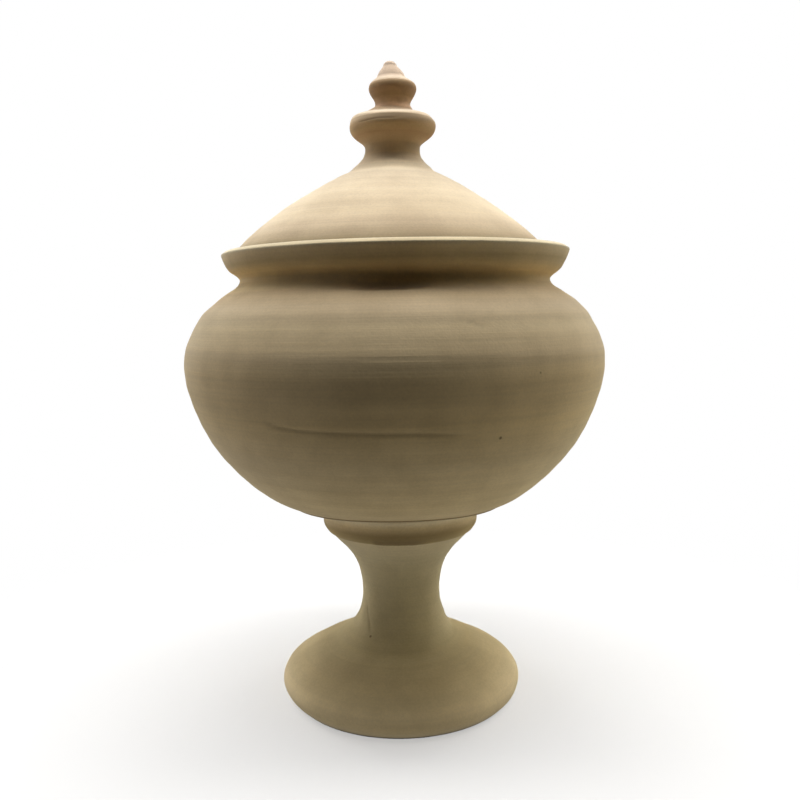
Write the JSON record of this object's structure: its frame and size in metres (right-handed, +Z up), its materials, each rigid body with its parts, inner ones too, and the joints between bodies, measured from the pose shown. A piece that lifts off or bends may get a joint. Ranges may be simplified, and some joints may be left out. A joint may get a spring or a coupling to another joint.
{
  "type": "candy dish",
  "caption": "Lidded candy dish in unglazed fired clay: a round bowl with a flared rim on a waisted hollow foot, closed by a loose domed lid with a turned knob.",
  "frame": {"origin": "centre of the foot's standing ring, on the table", "axes": "+Z up along the wheel's axis, -Y towards the viewer of the picture"},
  "size_m": [0.163, 0.163, 0.25],
  "materials": {
    "foot_clay": "matte unglazed bisque",
    "collar_clay": "matte unglazed bisque",
    "bowl_clay": "matte unglazed bisque",
    "lid_clay": "matte unglazed bisque",
    "knob_clay": "matte unglazed bisque",
    "finial_clay": "matte unglazed bisque, slightly pinker"
  },
  "bodies": {
    "dish_body": {"pedestal_foot": "foot_clay", "stem_collar": "collar_clay", "bowl": "bowl_clay"},
    "lid_body": {"lid": "lid_clay", "lid_knob": "knob_clay", "knob_finial": "finial_clay"}
  },
  "joints": [
    {"name": "lid_lift", "type": "slide", "parent": "dish_body", "child": "lid_body", "axis": [0, 0, 1], "range_m": [0, 0.06]}
  ]
}
